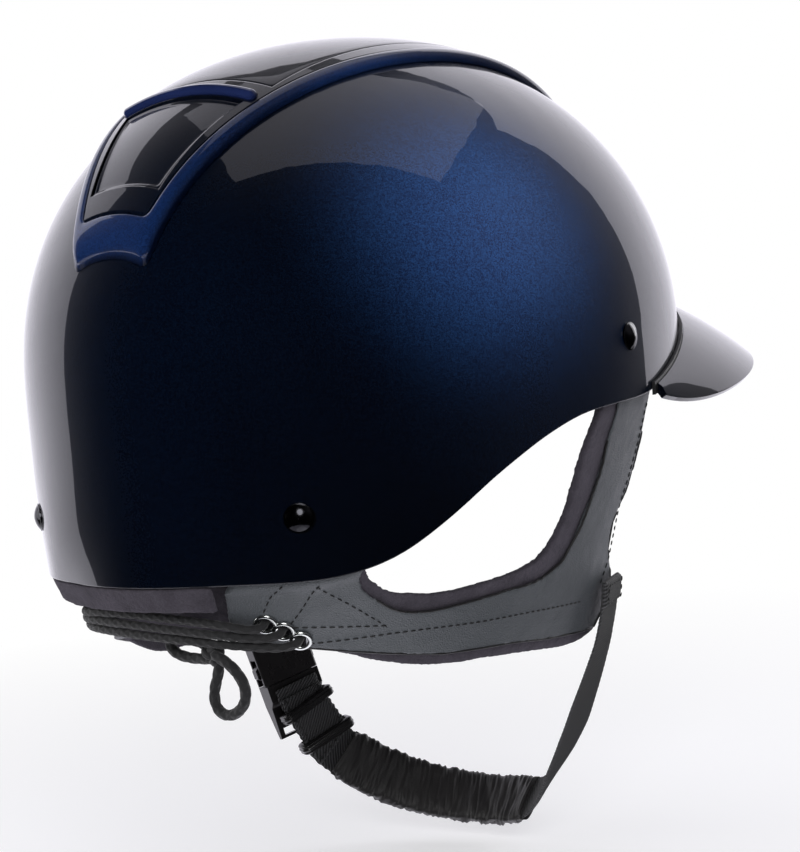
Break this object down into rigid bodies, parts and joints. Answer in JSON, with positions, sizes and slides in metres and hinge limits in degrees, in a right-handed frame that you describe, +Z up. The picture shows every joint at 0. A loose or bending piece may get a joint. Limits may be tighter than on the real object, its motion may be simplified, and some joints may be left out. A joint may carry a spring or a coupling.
{
  "type": "equestrian riding helmet",
  "caption": "Riding helmet with a lacquered shell, raised crown panel, peak, foam liner, laced leather harness and a chin strap with side-release buckle.",
  "frame": {"origin": "centre of the shell's widest level section, where the middle of the wearer's head sits", "axes": "+Z up through the crown, -Y towards the peak, -X towards the wearer's right"},
  "size_m": [0.2296, 0.3152, 0.3121],
  "materials": {
    "navy_lacquer": "high-gloss metallic navy lacquer",
    "blue_trim": "gloss metallic blue",
    "gloss_lip": "high gloss",
    "mesh_black": "matte",
    "seal_black": "satin",
    "black_chrome": "polished black chrome",
    "steel": "plain",
    "webbing": "ribbed woven polyester",
    "foam_black": "expanded foam",
    "lining_fleece": "brushed fleece",
    "hook_black": "hook tape",
    "grey_leather": "fine grain, satin",
    "nickel": "polished nickel",
    "lace_black": "round woven lace",
    "sleeve_black": "gathered elastic knit",
    "buckle_black": "satin moulded acetal",
    "keeper_rubber": "glossy rubber"
  },
  "bodies": {
    "helmet": {"outer_shell": "navy_lacquer", "crown_plate": "navy_lacquer", "crown_panel": "navy_lacquer", "crown_trim": "blue_trim", "rear_vent_cover": "navy_lacquer", "front_vent_cover": "navy_lacquer", "rear_vent_lip": "gloss_lip", "front_vent_lip": "gloss_lip", "rear_vent_mesh": "mesh_black", "front_vent_mesh": "mesh_black", "peak": "navy_lacquer", "peak_gasket": "seal_black", "rivets_rear": "black_chrome", "rivets_front": "black_chrome", "rivet_washers": "steel", "harness_tab_rear_right": "webbing", "harness_tab_rear_left": "webbing", "harness_tab_front_right": "webbing", "harness_tab_front_left": "webbing", "eps_liner": "foam_black", "comfort_band": "lining_fleece", "crown_pad": "lining_fleece", "hook_dots": "hook_black", "nape_cover": "lining_fleece", "nape_cushion": "lining_fleece", "harness_leather_right": "grey_leather", "harness_leather_left": "grey_leather", "harness_lining_right": "lining_fleece", "harness_lining_left": "lining_fleece", "eyelets_right": "nickel", "eyelets_left": "nickel", "lace_strands": "lace_black", "lace_knot": "lace_black", "lace_loop_side": "lace_black", "lace_loop_hanging": "lace_black"},
    "chin_strap": {"webbing_right": "webbing", "chin_sleeve": "sleeve_black", "webbing_drop": "webbing", "webbing_buckle_loop": "webbing", "buckle_socket": "buckle_black"},
    "buckle_plug": {"buckle_plug": "buckle_black", "webbing_left": "webbing", "webbing_tail": "webbing"},
    "latch_front": {"latch_front": "buckle_black"},
    "latch_rear": {"latch_rear": "buckle_black"},
    "keeper_lower": {"keeper_lower": "keeper_rubber"},
    "keeper_upper": {"keeper_upper": "keeper_rubber"}
  },
  "joints": [
    {"name": "chin_strap_swing", "type": "hinge", "parent": "helmet", "child": "chin_strap", "pos_m": [0, -0.04, -0.09], "axis": [-1, 0, 0], "range_deg": [-5, 40]},
    {"name": "buckle_release", "type": "slide", "parent": "chin_strap", "child": "buckle_plug", "axis": [-0.2, -0.17, -0.9649], "range_m": [0, 0.016], "deforming": ["chin_sleeve"]},
    {"name": "latch_press_front", "type": "hinge", "parent": "buckle_plug", "child": "latch_front", "pos_m": [0.07391, -0.04107, -0.13562], "axis": [-0.9115, 0.3936, 0.1196], "range_deg": [0, 6], "stiffness_Nm_per_rad": 0.05},
    {"name": "latch_press_rear", "type": "hinge", "parent": "buckle_plug", "child": "latch_rear", "pos_m": [0.08013, -0.02544, -0.13966], "axis": [0.9115, -0.3936, -0.1196], "range_deg": [0, 6], "stiffness_Nm_per_rad": 0.05},
    {"name": "keeper_lower_slide", "type": "slide", "parent": "buckle_plug", "child": "keeper_lower", "axis": [0.3122, 0.3897, 0.8664], "range_m": [-0.001, 0.003]},
    {"name": "keeper_upper_slide", "type": "slide", "parent": "buckle_plug", "child": "keeper_upper", "axis": [-0.2934, -0.3662, -0.8831], "range_m": [0, 0.005]}
  ],
  "couplings": [
    {"joint": "latch_press_rear", "follows": "latch_press_front", "ratio": 1}
  ]
}
